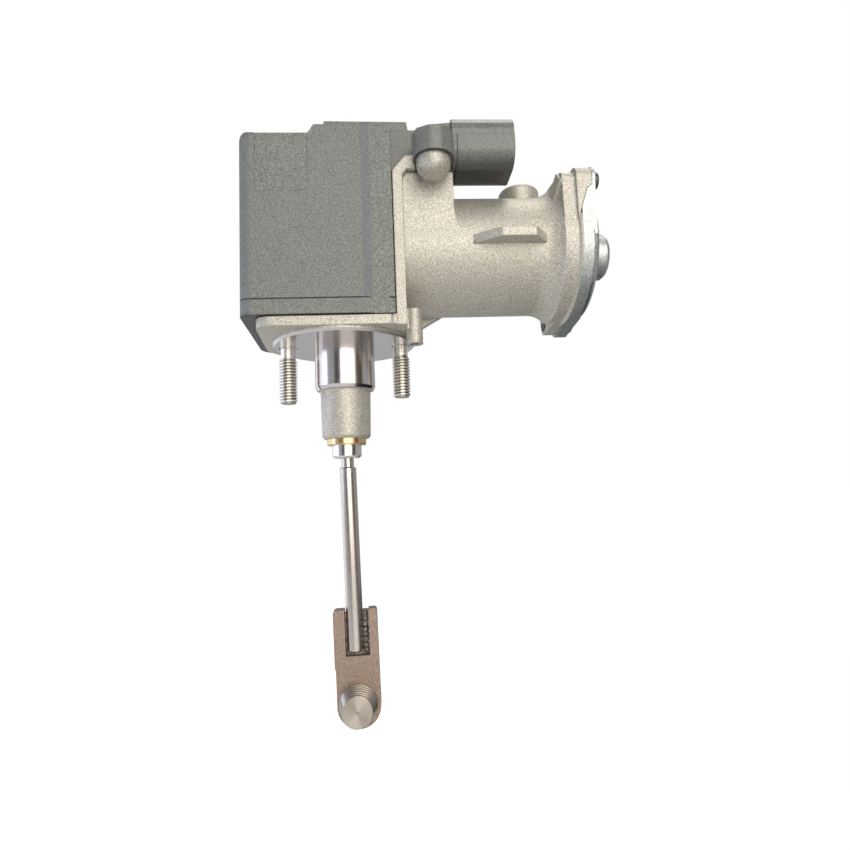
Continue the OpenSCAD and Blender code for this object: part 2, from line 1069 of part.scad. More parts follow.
module drive_pin() {
    color("#b9b3a8")
        leaned()
            translate([pin_x, 0, -pin_z])
                rotate([90, 0, 0])
                    rotate_extrude()
                        polygon([
                            [0, -2.4],
                            [3, -2.4],
                            [3.5, -1.9],
                            [3.5, 2],
                            [6.1, 2],
                            [6.1, 3.4],
                            [5.85, 3.6],
                            [5.85, 4.5],
                            [5.6, 4.7],
                            [5.6, 5.6],
                            [5.35, 5.8],
                            [5.35, 6.7],
                            [5.1, 6.9],
                            [5.1, 7.5],
                            [4.85, 7.7],
                            [4.85, 8.8],
                            [4.6, 9],
                            [0.5, 9],
                            [0, 8.5]
                        ]);
}

// Outer or inner side of the pressed motor cover, drawn as (radius, X).
module cap_profile(t) {
    polygon([
        [0, 70],
        [cap_r - t, 70],
        [cap_r - t, 79.7],
        [cap_r - t - 0.3, 80.7 - t * 0.6],
        [cap_r - t - 1.2, 81.7 - t],
        [cap_r - t - 2.4, 82 - t],
        [9.2 - t, 85.3 - t],
        [7.8 - t, 85.9 - t],
        [7.8 - t, 89.7 - t],
        [6.8 - t, 90.9 - t],
        [5.6 - t, 91.3 - t],
        [0, 91.3 - t]
    ]);
}

module motor_cover() {
    color("#b4bcc4")
        difference() {
            union() {
                turned_x()
                    cap_profile(0);
                slab_x(76.4, 80.9)
                    ear_link(cap_r, 4.3, ear_pcr, ear_turn);
                slab_x(76.8, 80.9)
                    ear_link(cap_r, 4.4, low_pcr, low_turn);
            }
            turned_x()
                cap_profile(0.9);
            slab_x(70, 80)
                ear_link(cap_r - 0.9, 3.5, low_pcr, low_turn);
            // room for the thick ear of the casting
            difference() {
                ear_wedge(0.2);
                bar_x(70, 85, cap_r - 0.02);
            }
            bar_x(60, 75.9, 40);
            flange_holes(79, 90, 2.2);
        }
}

module motor_cover_seal() {
    color("#1b1c1e")
        difference() {
            bar_x(75.6, 75.9, cap_r);
            bar_x(75, 77, 19.4);
        }
}

module motor_cover_screws() {
    color("#4c4e50")
        for (p = [[ear_pcr, ear_turn], [low_pcr, low_turn]])
            translate([80.9, p[0] * cos(p[1]), motor_z + p[0] * sin(p[1])])
                rotate([0, 90, 0])
                    cap_screw(2, 2.8, 2, 8.6);
}

module spring_washer() {
    color("#b6b8ba")
        turned_x()
            polygon([
                [11.5, 78.2],
                [15.5, 80.8],
                [15.5, 81.3],
                [11.5, 78.7]
            ]);
}

housing();
gearbox_cover();
cover_seal();
cover_screws();
terminal_pins();
sensor_board();
guide_bush();
shaft_seal();
studs();
motor_can();
motor_magnets();
motor_end_plate();
motor_bearings();
brush_holder();
brushes();
motor_shaft();
armature();
commutator();
motor_pinion();
intermediate_gear();
intermediate_axle();
output_gear();
output_axle();
magnet_holder();
sensor_magnets();
output_shaft();
actuating_rod();
end_plate();
weld_bead();
drive_pin();
motor_cover();
motor_cover_seal();
motor_cover_screws();
spring_washer();
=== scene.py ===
import math

import bmesh
import bpy
from mathutils import Matrix, Vector


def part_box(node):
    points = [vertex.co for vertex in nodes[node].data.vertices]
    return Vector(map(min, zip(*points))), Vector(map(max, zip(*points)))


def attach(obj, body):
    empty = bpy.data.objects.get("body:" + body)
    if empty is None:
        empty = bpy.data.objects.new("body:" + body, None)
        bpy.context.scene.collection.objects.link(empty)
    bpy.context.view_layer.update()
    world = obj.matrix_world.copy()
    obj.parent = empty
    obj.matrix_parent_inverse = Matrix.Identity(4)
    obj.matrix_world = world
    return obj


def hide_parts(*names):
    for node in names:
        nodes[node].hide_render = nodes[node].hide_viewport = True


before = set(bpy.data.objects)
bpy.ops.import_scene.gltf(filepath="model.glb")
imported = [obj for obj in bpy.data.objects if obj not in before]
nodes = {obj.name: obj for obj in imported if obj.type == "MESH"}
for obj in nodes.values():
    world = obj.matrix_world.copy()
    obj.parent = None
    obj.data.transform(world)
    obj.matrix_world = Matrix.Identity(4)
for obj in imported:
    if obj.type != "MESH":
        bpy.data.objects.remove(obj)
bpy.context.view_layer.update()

# Housing: one aluminium die casting with base plate, neck, gearbox wall and motor tube.
# The skin is as cast, sandy and matt with bright grains; the pad and the upper neck are
# turned on a lathe, so they are smooth, with fine rings around the shaft axis.


def linear(hex_colour):
    """Colour of the shaders from an sRGB hex value."""
    parts = [int(hex_colour[i : i + 2], 16) / 255 for i in (1, 3, 5)]
    return tuple(c / 12.92 if c <= 0.04045 else ((c + 0.055) / 1.055) ** 2.4 for c in parts) + (1.0,)


def add(owner, kind, settings=None, links=None):
    """One shader node of a material or the world, with its settings and its links."""
    node = owner.node_tree.nodes.new(kind)
    for name, value in (settings or {}).items():
        if isinstance(name, int) or name in node.inputs:
            node.inputs[name].default_value = value
        else:
            setattr(node, name, value)
    for name, source in (links or {}).items():
        owner.node_tree.links.new(source, node.inputs[name])
    return node


def new_finish(name):
    """Empty material for one finish."""
    material = bpy.data.materials.new(name)
    material.use_nodes = True
    material.node_tree.nodes.clear()
    return material


def put(material, *pieces):
    """Gives the pieces this one finish."""
    for piece in pieces:
        piece.data.materials.clear()
        piece.data.materials.append(material)


cast = new_finish("die_cast_aluminium")
place = add(cast, "ShaderNodeTexCoord").outputs["Object"]
# A noise scale is one over the width of a grain in metres. The sand grains are really
# about 0.2 mm wide, and are drawn 0.38 mm wide so that they show.
grains = add(
    cast,
    "ShaderNodeTexNoise",
    {"Scale": 2600.0, "Detail": 2.0, "Roughness": 0.7},
    {"Vector": place},
)
grain_colour = add(cast, "ShaderNodeValToRGB", {}, {"Fac": grains.outputs["Fac"]})
grain_colour.color_ramp.elements[0].position = 0.36
grain_colour.color_ramp.elements[0].color = linear("#9a968b")
grain_colour.color_ramp.elements[1].position = 0.64
grain_colour.color_ramp.elements[1].color = linear("#dedacd")
skin_rough = add(
    cast,
    "ShaderNodeMapRange",
    {"To Min": 0.4, "To Max": 0.62},
    {"Value": grains.outputs["Fac"]},
)
# cast edges are rounded by about half a millimetre
soft_edge = add(cast, "ShaderNodeBevel", {"samples": 4, "Radius": 0.0005})
skin_bump = add(
    cast,
    "ShaderNodeBump",
    {"Strength": 0.6, "Distance": 0.00012},
    {"Height": grains.outputs["Fac"], "Normal": soft_edge.outputs[0]},
)
skin = add(
    cast,
    "ShaderNodeBsdfPrincipled",
    {"Metallic": 0.6},
    {
        "Base Color": grain_colour.outputs["Color"],
        "Roughness": skin_rough.outputs[0],
        "Normal": skin_bump.outputs["Normal"],
    },
)
# lathe rings, 0.15 mm apart in real life, drawn 0.3 mm apart
split = add(cast, "ShaderNodeSeparateXYZ", {}, {0: place})
across = add(cast, "ShaderNodeVectorMath", {"operation": "MULTIPLY", 1: (1, 1, 0)}, {0: place})
radius = add(cast, "ShaderNodeVectorMath", {"operation": "LENGTH"}, {0: across.outputs[0]})
ring_place = add(
    cast,
    "ShaderNodeCombineXYZ",
    {},
    {"X": radius.outputs["Value"], "Z": split.outputs["Z"]},
)
rings = add(cast, "ShaderNodeTexNoise", {"Scale": 3300.0, "Detail": 1.0}, {"Vector": ring_place.outputs[0]})
ring_bump = add(
    cast,
    "ShaderNodeBump",
    {"Strength": 0.12, "Distance": 0.00004},
    {"Height": rings.outputs["Fac"]},
)
face_rough = add(
    cast,
    "ShaderNodeMapRange",
    {"To Min": 0.14, "To Max": 0.24},
    {"Value": rings.outputs["Fac"]},
)
# the sloping rim of the pad, which starts at Z = 0, is cut with a coarser feed
rim_rough = add(
    cast,
    "ShaderNodeMapRange",
    {"From Min": 0.00005, "From Max": 0.0002, "To Min": 0.0, "To Max": 0.28},
    {"Value": split.outputs["Z"]},
)
ring_rough = add(
    cast,
    "ShaderNodeMath",
    {"operation": "ADD"},
    {0: face_rough.outputs[0], 1: rim_rough.outputs[0]},
)
turned = add(
    cast,
    "ShaderNodeBsdfPrincipled",
    {"Base Color": linear("#d2ccc9"), "Metallic": 1.0},
    {"Roughness": ring_rough.outputs[0], "Normal": ring_bump.outputs["Normal"]},
)
# Turned from the step of the neck up to the top of the sloping rim, and out to the edge
# of the pad. Each limit lies a hair outside the face that ends there.
rim_top = 0.00072
neck_step = -0.01492
pad_edge = 0.02375
pad_centre = (0, 0.0015, 0)
below = add(cast, "ShaderNodeMath", {"operation": "LESS_THAN", 1: rim_top}, {0: split.outputs["Z"]})
above = add(cast, "ShaderNodeMath", {"operation": "GREATER_THAN", 1: neck_step}, {0: split.outputs["Z"]})
pad_place = add(
    cast,
    "ShaderNodeVectorMath",
    {"operation": "SUBTRACT", 1: pad_centre},
    {0: across.outputs[0]},
)
pad_radius = add(cast, "ShaderNodeVectorMath", {"operation": "LENGTH"}, {0: pad_place.outputs[0]})
inside = add(
    cast,
    "ShaderNodeMath",
    {"operation": "LESS_THAN", 1: pad_edge},
    {0: pad_radius.outputs["Value"]},
)
both = add(cast, "ShaderNodeMath", {"operation": "MULTIPLY"}, {0: below.outputs[0], 1: above.outputs[0]})
machined = add(cast, "ShaderNodeMath", {"operation": "MULTIPLY"}, {0: both.outputs[0], 1: inside.outputs[0]})
cast_or_turned = add(
    cast,
    "ShaderNodeMixShader",
    {},
    {0: machined.outputs[0], 1: skin.outputs[0], 2: turned.outputs[0]},
)
add(cast, "ShaderNodeOutputMaterial", {}, {"Surface": cast_or_turned.outputs[0]})
put(cast, nodes["housing"])

# Studs: two M6 x 1 studs of plain steel with rolled threads, screwed into the pad, and a
# thinner plain neck under it. Crests are smooth and bright, and the roots are painted
# darker, as painted shade in the thread valleys.
stud_radius = 0.003
thread_pitch = 0.001
thread_depth = 0.00061
end_chamfer = 0.0007
chamfer_slope = 1.2
neck_radius = 0.0024
neck_bottom = -0.0036
neck_top = 0.0001
plain_radius = stud_radius - 0.0001
plain_bottom = 0.0005


def threaded_bar(mesh, x, bottom, top):
    """Bar with a helical thread up to its plain neck, and a plain end inside the hole."""
    sides = 40
    # where each point of the thread lies in the pitch, and 1 on the crest or 0 in the root
    profile = [(0.0, 1.0), (0.12, 1.0), (0.5, 0.0), (0.62, 0.0)]
    turns = int((neck_bottom - bottom) / thread_pitch) + 2
    columns = []
    for i in range(sides + 1):
        a = 2 * math.pi * i / sides
        column = []
        for turn in range(-1, turns):
            for share, crest in profile:
                z = bottom + (turn + share + i / sides) * thread_pitch
                r = stud_radius - thread_depth * (1 - crest)
                r = min(r, stud_radius - end_chamfer + max(0.0, z - bottom) * chamfer_slope)
                r = min(r, neck_radius + max(0.0, neck_bottom - z) * chamfer_slope)
                z = min(max(z, bottom), neck_bottom)
                column.append(mesh.verts.new((x + r * math.cos(a), r * math.sin(a), z)))
        for r, z in (
            (neck_radius, neck_bottom),
            (neck_radius, neck_top),
            (plain_radius, plain_bottom),
            (plain_radius, top),
        ):
            column.append(mesh.verts.new((x + r * math.cos(a), r * math.sin(a), z)))
        columns.append(column)
    for left, right in zip(columns, columns[1:]):
        for j in range(len(left) - 1):
            mesh.faces.new((left[j], right[j], right[j + 1], left[j + 1]))
    for j in (0, -1):
        ends = [c[j] for c in columns[:-1]]
        mesh.faces.new(ends if j else ends[::-1])


stud_low, stud_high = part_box("studs")
stud_x = stud_high.x - stud_radius
# inside the casting both bars end 1.2 mm early, and the right stud stands out 1.1 mm less
hidden_top = stud_high.z - 0.0012
right_bottom = stud_low.z + 0.0011
stud_mesh = bmesh.new()
threaded_bar(stud_mesh, -stud_x, stud_low.z, hidden_top)
threaded_bar(stud_mesh, stud_x, right_bottom, hidden_top)
bmesh.ops.remove_doubles(stud_mesh, verts=stud_mesh.verts, dist=1e-6)
stud_data = bpy.data.meshes.new("threaded_studs")
stud_mesh.to_mesh(stud_data)
stud_mesh.free()
threaded_studs = bpy.data.objects.new("threaded_studs", stud_data)
bpy.context.scene.collection.objects.link(threaded_studs)

rolled = new_finish("rolled_thread_steel")
place = add(rolled, "ShaderNodeTexCoord").outputs["Object"]
# specks left by the rolling dies, drawn 0.7 mm wide
specks = add(rolled, "ShaderNodeTexNoise", {"Scale": 1500.0, "Detail": 2.0}, {"Vector": place})
rolled_rough = add(
    rolled,
    "ShaderNodeMapRange",
    {"To Min": 0.2, "To Max": 0.38},
    {"Value": specks.outputs["Fac"]},
)
rolled_bump = add(
    rolled,
    "ShaderNodeBump",
    {"Strength": 0.1, "Distance": 0.00003},
    {"Height": specks.outputs["Fac"]},
)
# distance from the axis of the nearer stud: painted shade in the roots, bright on the crests
root_radius = 0.00245
crest_radius = 0.0028
mirrored = add(rolled, "ShaderNodeVectorMath", {"operation": "ABSOLUTE"}, {0: place})
from_axis = add(
    rolled,
    "ShaderNodeVectorMath",
    {"operation": "SUBTRACT", 1: (stud_x, 0, 0)},
    {0: mirrored.outputs[0]},
)
flattened = add(
    rolled,
    "ShaderNodeVectorMath",
    {"operation": "MULTIPLY", 1: (1, 1, 0)},
    {0: from_axis.outputs[0]},
)
stud_reach = add(rolled, "ShaderNodeVectorMath", {"operation": "LENGTH"}, {0: flattened.outputs[0]})
root_or_crest = add(
    rolled,
    "ShaderNodeMapRange",
    {"From Min": root_radius, "From Max": crest_radius},
    {"Value": stud_reach.outputs["Value"]},
)
stud_height = add(rolled, "ShaderNodeSeparateXYZ", {}, {0: place})
on_neck = add(
    rolled,
    "ShaderNodeMath",
    {"operation": "GREATER_THAN", 1: neck_bottom},
    {0: stud_height.outputs["Z"]},
)
bright = add(
    rolled,
    "ShaderNodeMath",
    {"operation": "MAXIMUM"},
    {0: root_or_crest.outputs[0], 1: on_neck.outputs[0]},
)
# sockets 6 and 7 of a mix node are its two colours, and its output 2 is the mixed colour
# painted shade: the roots of the thread take the darker colour, the crests and the neck the bright one
root_painted_shade_colour = add(
    rolled,
    "ShaderNodeMix",
    {"data_type": "RGBA", 6: linear("#a7a297"), 7: linear("#fbf8f0")},
    {0: bright.outputs[0]},
)
rolled_steel = add(
    rolled,
    "ShaderNodeBsdfPrincipled",
    {"Metallic": 1.0},
    {
        "Base Color": root_painted_shade_colour.outputs[2],
        "Roughness": rolled_rough.outputs[0],
        "Normal": rolled_bump.outputs["Normal"],
    },
)
add(rolled, "ShaderNodeOutputMaterial", {}, {"Surface": rolled_steel.outputs[0]})
put(rolled, threaded_studs, nodes["studs"])
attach(threaded_studs, "casing")
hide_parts("studs")

# Guide bush and motor bearings: sintered bronze rings, pressed in and bored.
# Warm yellow metal with a fine open grain.
bronze = new_finish("sintered_bronze")
place = add(bronze, "ShaderNodeTexCoord").outputs["Object"]
# pores, too fine to show at their real 0.05 mm, drawn 0.33 mm wide
pores = add(bronze, "ShaderNodeTexNoise", {"Scale": 3000.0, "Detail": 2.0}, {"Vector": place})
bronze_colour = add(bronze, "ShaderNodeValToRGB", {}, {"Fac": pores.outputs["Fac"]})
bronze_colour.color_ramp.elements[0].color = linear("#c29a63")
bronze_colour.color_ramp.elements[1].color = linear("#f3dcae")
bronze_bump = add(
    bronze,
    "ShaderNodeBump",
    {"Strength": 0.15, "Distance": 0.00004},
    {"Height": pores.outputs["Fac"]},
)
bronze_metal = add(
    bronze,
    "ShaderNodeBsdfPrincipled",
    {"Metallic": 1.0, "Roughness": 0.28},
    {"Base Color": bronze_colour.outputs["Color"], "Normal": bronze_bump.outputs["Normal"]},
)
add(bronze, "ShaderNodeOutputMaterial", {}, {"Surface": bronze_metal.outputs[0]})
put(bronze, nodes["guide_bush"], nodes["motor_bearings"])

# Rack shaft, motor shaft and gear axles: hardened steel, ground round.
# Smooth and bright, with very fine grinding marks.
ground = new_finish("ground_steel")
place = add(ground, "ShaderNodeTexCoord").outputs["Object"]
# grinding marks, really a few hundredths of a millimetre, drawn 0.25 mm wide
marks = add(ground, "ShaderNodeTexNoise", {"Scale": 4000.0, "Detail": 1.0}, {"Vector": place})
ground_rough = add(
    ground,
    "ShaderNodeMapRange",
    {"To Min": 0.14, "To Max": 0.26},
    {"Value": marks.outputs["Fac"]},
)
ground_bump = add(
    ground,
    "ShaderNodeBump",
    {"Strength": 0.06, "Distance": 0.00002},
    {"Height": marks.outputs["Fac"]},
)
ground_steel = add(
    ground,
    "ShaderNodeBsdfPrincipled",
    {"Base Color": linear("#dedbd6"), "Metallic": 1.0},
    {"Roughness": ground_rough.outputs[0], "Normal": ground_bump.outputs["Normal"]},
)
add(ground, "ShaderNodeOutputMaterial", {}, {"Surface": ground_steel.outputs[0]})
put(
    ground,
    nodes["output_shaft"],
    nodes["motor_shaft"],
    nodes["intermediate_axle"],
    nodes["output_axle"],
)

# Rod: drawn steel bar, turned down to a neck and a ball at the top.
# Bright with soft lengthwise streaks from drawing.
drawn = new_finish("drawn_steel_rod")
place = add(drawn, "ShaderNodeTexCoord").outputs["Object"]
# streaks, drawn 0.45 mm wide and 7.6 mm long
stretch = add(drawn, "ShaderNodeVectorMath", {"operation": "MULTIPLY", 1: (1, 1, 0.06)}, {0: place})
streaks = add(
    drawn,
    "ShaderNodeTexNoise",
    {"Scale": 2200.0, "Detail": 2.0},
    {"Vector": stretch.outputs[0]},
)
drawn_rough = add(
    drawn,
    "ShaderNodeMapRange",
    {"To Min": 0.2, "To Max": 0.36},
    {"Value": streaks.outputs["Fac"]},
)
drawn_bump = add(
    drawn,
    "ShaderNodeBump",
    {"Strength": 0.1, "Distance": 0.00003},
    {"Height": streaks.outputs["Fac"]},
)
drawn_steel = add(
    drawn,
    "ShaderNodeBsdfPrincipled",
    {"Base Color": linear("#c8c0b8"), "Metallic": 1.0},
    {"Roughness": drawn_rough.outputs[0], "Normal": drawn_bump.outputs["Normal"]},
)
add(drawn, "ShaderNodeOutputMaterial", {}, {"Surface": drawn_steel.outputs[0]})
put(drawn, nodes["actuating_rod"])

# End plate: stamped steel plate with a slot for the rod, left as rolled.
# Dull brownish grey with a fine tooth.
stamped = new_finish("stamped_steel_plate")
place = add(stamped, "ShaderNodeTexCoord").outputs["Object"]
# tooth of the rolled skin, really about 0.1 mm, drawn 0.42 mm wide
tooth = add(stamped, "ShaderNodeTexNoise", {"Scale": 2400.0, "Detail": 3.0}, {"Vector": place})
plate_colour = add(stamped, "ShaderNodeValToRGB", {}, {"Fac": tooth.outputs["Fac"]})
plate_colour.color_ramp.elements[0].position = 0.3
plate_colour.color_ramp.elements[0].color = linear("#817065")
plate_colour.color_ramp.elements[1].position = 0.7
plate_colour.color_ramp.elements[1].color = linear("#b5a090")
plate_bump = add(
    stamped,
    "ShaderNodeBump",
    {"Strength": 0.3, "Distance": 0.00006},
    {"Height": tooth.outputs["Fac"]},
)
plate_metal = add(
    stamped,
    "ShaderNodeBsdfPrincipled",
    {"Metallic": 0.8, "Roughness": 0.45},
    {"Base Color": plate_colour.outputs["Color"], "Normal": plate_bump.outputs["Normal"]},
)
add(stamped, "ShaderNodeOutputMaterial", {}, {"Surface": plate_metal.outputs[0]})
put(stamped, nodes["end_plate"])

# Weld bead: arc weld that fills the slot of the plate on both sides of the rod.
# Steel frozen in lumps, darkened by heat and soot between them.
weld = new_finish("arc_weld_metal")
place = add(weld, "ShaderNodeTexCoord").outputs["Object"]
# lumps 0.8 mm wide, as in a bead of this size
lumps = add(weld, "ShaderNodeTexNoise", {"Scale": 1200.0, "Detail": 4.0}, {"Vector": place})
weld_colour = add(weld, "ShaderNodeValToRGB", {}, {"Fac": lumps.outputs["Fac"]})
weld_colour.color_ramp.elements[0].position = 0.35
weld_colour.color_ramp.elements[0].color = linear("#3f3a36")
weld_colour.color_ramp.elements[1].position = 0.65
weld_colour.color_ramp.elements[1].color = linear("#a49a90")
weld_bump = add(
    weld,
    "ShaderNodeBump",
    {"Strength": 0.7, "Distance": 0.0002},
    {"Height": lumps.outputs["Fac"]},
)
weld_metal = add(
    weld,
    "ShaderNodeBsdfPrincipled",
    {"Metallic": 0.8, "Roughness": 0.42},
    {"Base Color": weld_colour.outputs["Color"], "Normal": weld_bump.outputs["Normal"]},
)
add(weld, "ShaderNodeOutputMaterial", {}, {"Surface": weld_metal.outputs[0]})
put(weld, nodes["weld_bead"])

# Drive pin: turned steel pin riveted into the plate. The lathe leaves fine rings on the
# face, which spread a highlight into two fans.
turned_pin = new_finish("turned_steel_pin")
place = add(turned_pin, "ShaderNodeTexCoord").outputs["Object"]
# unevenness of the cut, drawn 0.56 mm wide; the rings are finer, so the gloss alone shows them
sway = add(turned_pin, "ShaderNodeTexNoise", {"Scale": 1800.0, "Detail": 1.0}, {"Vector": place})
pin_rough = add(
    turned_pin,
    "ShaderNodeMapRange",
    {"To Min": 0.26, "To Max": 0.36},
    {"Value": sway.outputs["Fac"]},
)
pin_bump = add(
    turned_pin,
    "ShaderNodeBump",
    {"Strength": 0.05, "Distance": 0.00003},
    {"Height": sway.outputs["Fac"]},
)
pin_tangent = add(turned_pin, "ShaderNodeTangent", {"direction_type": "RADIAL", "axis": "Y"})
pin_metal = add(
    turned_pin,
    "ShaderNodeBsdfPrincipled",
    {"Base Color": linear("#b6aea2"), "Metallic": 1.0, "Anisotropic": 0.85, "Anisotropic Rotation": 0.25},
    {
        "Roughness": pin_rough.outputs[0],
        "Normal": pin_bump.outputs["Normal"],
        "Tangent": pin_tangent.outputs[0],
    },
)
add(turned_pin, "ShaderNodeOutputMaterial", {}, {"Surface": pin_metal.outputs[0]})
put(turned_pin, nodes["drive_pin"])

# Gearbox cover with connector: moulded glass-filled polyamide, dark grey.
# Glass fibres at the surface give a dull skin with tiny light specks.
moulded = new_finish("glass_filled_polyamide")
place = add(moulded, "ShaderNodeTexCoord").outputs["Object"]
# fibre ends, really 0.1 mm, drawn 0.29 mm wide, and cloudy patches 17 mm wide
fibres = add(
    moulded,
    "ShaderNodeTexNoise",
    {"Scale": 3400.0, "Detail": 2.0, "Roughness": 0.7},
    {"Vector": place},
)
clouds = add(moulded, "ShaderNodeTexNoise", {"Scale": 60.0, "Detail": 2.0}, {"Vector": place})
box_colour = add(moulded, "ShaderNodeValToRGB", {}, {"Fac": fibres.outputs["Fac"]})
box_colour.color_ramp.elements[0].position = 0.38
box_colour.color_ramp.elements[0].color = linear("#545652")
box_colour.color_ramp.elements[1].position = 0.64
box_colour.color_ramp.elements[1].color = linear("#969992")
# the connector end, beyond X = 24 mm, is a shade darker
plug_colour = add(moulded, "ShaderNodeValToRGB", {}, {"Fac": fibres.outputs["Fac"]})
plug_colour.color_ramp.elements[0].position = 0.38
plug_colour.color_ramp.elements[0].color = linear("#50524e")
plug_colour.color_ramp.elements[1].position = 0.64
plug_colour.color_ramp.elements[1].color = linear("#888b84")
cover_split = add(moulded, "ShaderNodeSeparateXYZ", {}, {0: place})
plug_end = add(
    moulded,
    "ShaderNodeMapRange",
    {"From Min": 0.0235, "From Max": 0.0245},
    {"Value": cover_split.outputs["X"]},
)
cover_colour = add(
    moulded,
    "ShaderNodeMix",
    {"data_type": "RGBA"},
    {0: plug_end.outputs[0], 6: box_colour.outputs["Color"], 7: plug_colour.outputs["Color"]},
)
# An upright strip of the front, 2.6 mm wide, and the left edge are painted darker and cooler,
# as painted shade and a painted cool reflection. The strip starts over the parting line, and only on faces
# that look to the front.
strip_middle = 0.0093
strip_half_width = 0.0013
parting_line = 0.0097
left_face = -0.0262
left_edge_start = -0.0245
facing = add(moulded, "ShaderNodeNewGeometry")
face_split = add(moulded, "ShaderNodeSeparateXYZ", {}, {0: facing.outputs["True Normal"]})
looks_front = add(
    moulded,
    "ShaderNodeMath",
    {"operation": "LESS_THAN", 1: -0.8},
    {0: face_split.outputs["Y"]},
)
over_line = add(
    moulded,
    "ShaderNodeMath",
    {"operation": "GREATER_THAN", 1: parting_line},
    {0: cover_split.outputs["Z"]},
)
on_panel = add(
    moulded,
    "ShaderNodeMath",
    {"operation": "MULTIPLY"},
    {0: looks_front.outputs[0], 1: over_line.outputs[0]},
)
in_strip = add(
    moulded,
    "ShaderNodeMath",
    {"operation": "COMPARE", 1: strip_middle, 2: strip_half_width},
    {0: cover_split.outputs["X"]},
)
on_strip = add(
    moulded,
    "ShaderNodeMath",
    {"operation": "MULTIPLY"},
    {0: on_panel.outputs[0], 1: in_strip.outputs[0]},
)
left_edge = add(
    moulded,
    "ShaderNodeMapRange",
    {"From Min": left_edge_start, "From Max": left_face, "To Min": 0.0, "To Max": 0.7},
    {"Value": cover_split.outputs["X"]},
)
painted_shade_share = add(
    moulded,
    "ShaderNodeMath",
    {"operation": "MAXIMUM"},
    {0: on_strip.outputs[0], 1: left_edge.outputs[0]},
)
painted_shade_tint = add(
    moulded,
    "ShaderNodeMath",
    {"operation": "MULTIPLY", 1: 0.45},
    {0: painted_shade_share.outputs[0]},
)
# painted shade and cool reflection: the strip and the left edge are mixed towards a darker, cooler grey
strip_painted_shade_colour = add(
    moulded,
    "ShaderNodeMix",
    {"data_type": "RGBA", 7: linear("#5f6673")},
    {0: painted_shade_tint.outputs[0], 6: cover_colour.outputs[2]},
)
# painted shade: the faces that look down are painted darker, nearly black
looks_down = add(
    moulded,
    "ShaderNodeMapRange",
    {"From Min": -0.45, "From Max": -1.0, "To Min": 0.0, "To Max": 0.85},
    {"Value": face_split.outputs["Z"]},
)
underside_painted_shade_colour = add(
    moulded,
    "ShaderNodeMix",
    {"data_type": "RGBA", 7: linear("#38383a")},
    {0: looks_down.outputs[0], 6: strip_painted_shade_colour.outputs[2]},
)
box_rough = add(
    moulded,
    "ShaderNodeMapRange",
    {"To Min": 0.42, "To Max": 0.6},
    {"Value": clouds.outputs["Fac"]},
)
# the connector comes from a smoother part of the mould
plug_gloss = add(moulded, "ShaderNodeMath", {"operation": "MULTIPLY", 1: 0.28}, {0: plug_end.outputs[0]})
cover_rough = add(
    moulded,
    "ShaderNodeMath",
    {"operation": "SUBTRACT"},
    {0: box_rough.outputs[0], 1: plug_gloss.outputs[0]},
)
# moulded edges are rounded by about 0.4 mm, and the long left edge by 2.5 mm
edge_radius = 0.0004
left_edge_radius = 0.0025
cover_round = add(
    moulded,
    "ShaderNodeMapRange",
    {"From Min": -0.026, "From Max": left_edge_start, "To Min": left_edge_radius, "To Max": edge_radius},
    {"Value": cover_split.outputs["X"]},
)
cover_edge = add(moulded, "ShaderNodeBevel", {"samples": 4}, {"Radius": cover_round.outputs[0]})
cover_bump = add(
    moulded,
    "ShaderNodeBump",
    {"Strength": 0.45, "Distance": 0.00008},
    {"Height": fibres.outputs["Fac"], "Normal": cover_edge.outputs[0]},
)
polyamide = add(
    moulded,
    "ShaderNodeBsdfPrincipled",
    {"IOR": 1.53},
    {
        "Base Color": underside_painted_shade_colour.outputs[2],
        "Roughness": cover_rough.outputs["Value"],
        "Normal": cover_bump.outputs["Normal"],
    },
)
add(moulded, "ShaderNodeOutputMaterial", {}, {"Surface": polyamide.outputs[0]})
put(moulded, nodes["gearbox_cover"])

# Seals: the cover gasket, the shaft seal and the ring under the motor cover.
# Black nitrile rubber, moulded, dull with a faint dusty grain.
nitrile = new_finish("nitrile_rubber")
place = add(nitrile, "ShaderNodeTexCoord").outputs["Object"]
# dust and bloom on the rubber, in patches 0.56 mm wide
dust = add(nitrile, "ShaderNodeTexNoise", {"Scale": 1800.0, "Detail": 2.0}, {"Vector": place})
rubber_rough = add(
    nitrile,
    "ShaderNodeMapRange",
    {"To Min": 0.6, "To Max": 0.8},
    {"Value": dust.outputs["Fac"]},
)
rubber_bump = add(
    nitrile,
    "ShaderNodeBump",
    {"Strength": 0.2, "Distance": 0.00004},
    {"Height": dust.outputs["Fac"]},
)
rubber = add(
    nitrile,
    "ShaderNodeBsdfPrincipled",
    {"Base Color": linear("#1d1d1f"), "IOR": 1.52},
    {"Roughness": rubber_rough.outputs[0], "Normal": rubber_bump.outputs["Normal"]},
)
add(nitrile, "ShaderNodeOutputMaterial", {}, {"Surface": rubber.outputs[0]})
put(nitrile, nodes["cover_seal"], nodes["shaft_seal"], nodes["motor_cover_seal"])

# Motor cover and cover screws: pressed and headed steel with clear zinc plating.
# Plating shows as a bluish white bright skin with fine crystals.
zinc = new_finish("zinc_plated_steel")
place = add(zinc, "ShaderNodeTexCoord").outputs["Object"]
